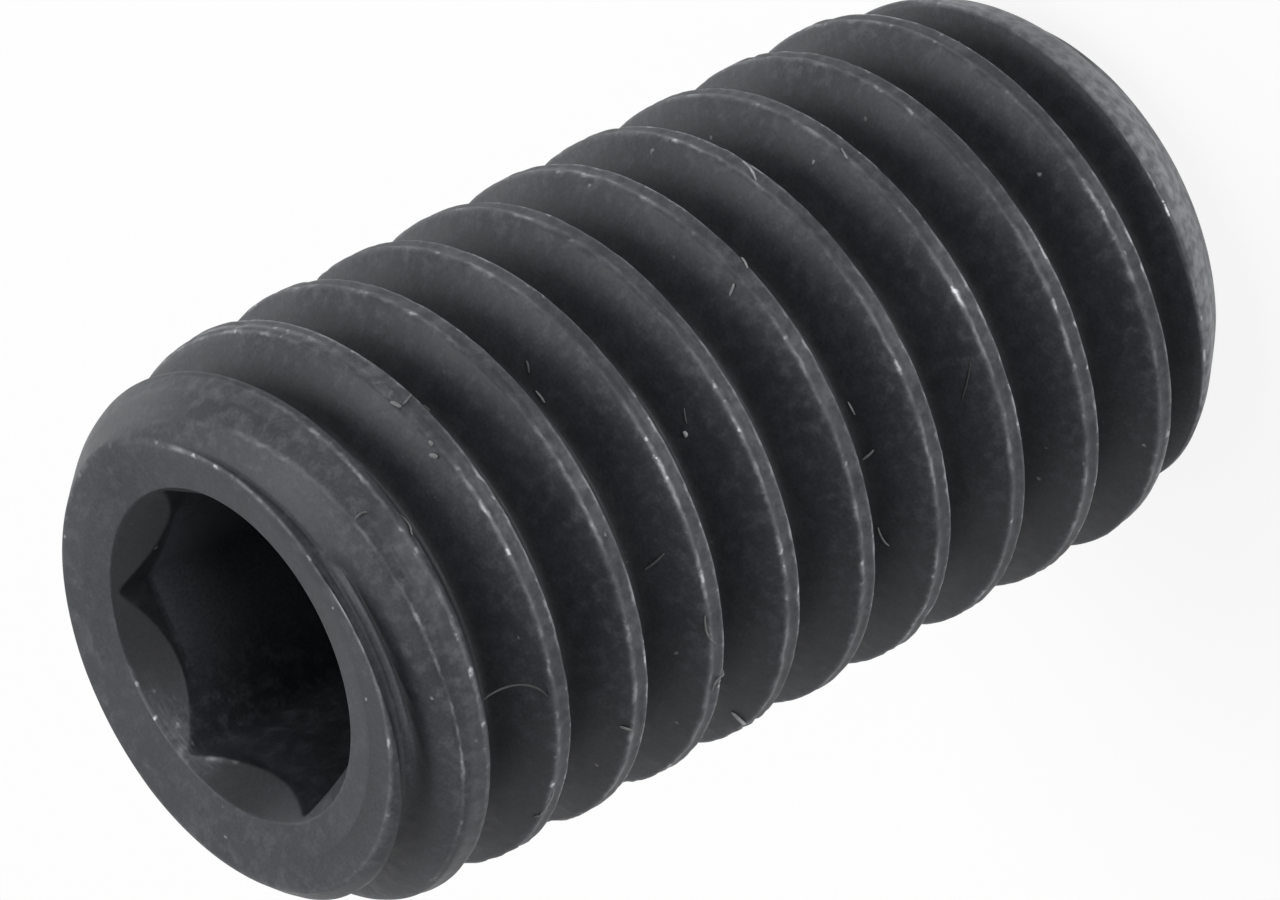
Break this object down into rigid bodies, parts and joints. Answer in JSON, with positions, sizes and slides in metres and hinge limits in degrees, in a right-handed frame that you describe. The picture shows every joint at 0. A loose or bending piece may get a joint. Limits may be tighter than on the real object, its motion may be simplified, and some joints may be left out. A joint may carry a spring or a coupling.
{
  "type": "socket set screw",
  "caption": "Headless black steel set screw with a full-length thread, a hexagon socket at one end and a flat chamfered point at the other.",
  "frame": {"origin": "centre of the flat point, which the screw stands on", "axes": "+Z along the screw from the flat point to the socket end; two flats of the hexagon socket face +Y and -Y"},
  "size_m": [0.0058, 0.0058, 0.0111],
  "materials": {
    "black_steel": "black oxide, dull with a faint sheen on the worn crests"
  },
  "bodies": {
    "root": {"set_screw": "black_steel"}
  },
  "joints": []
}
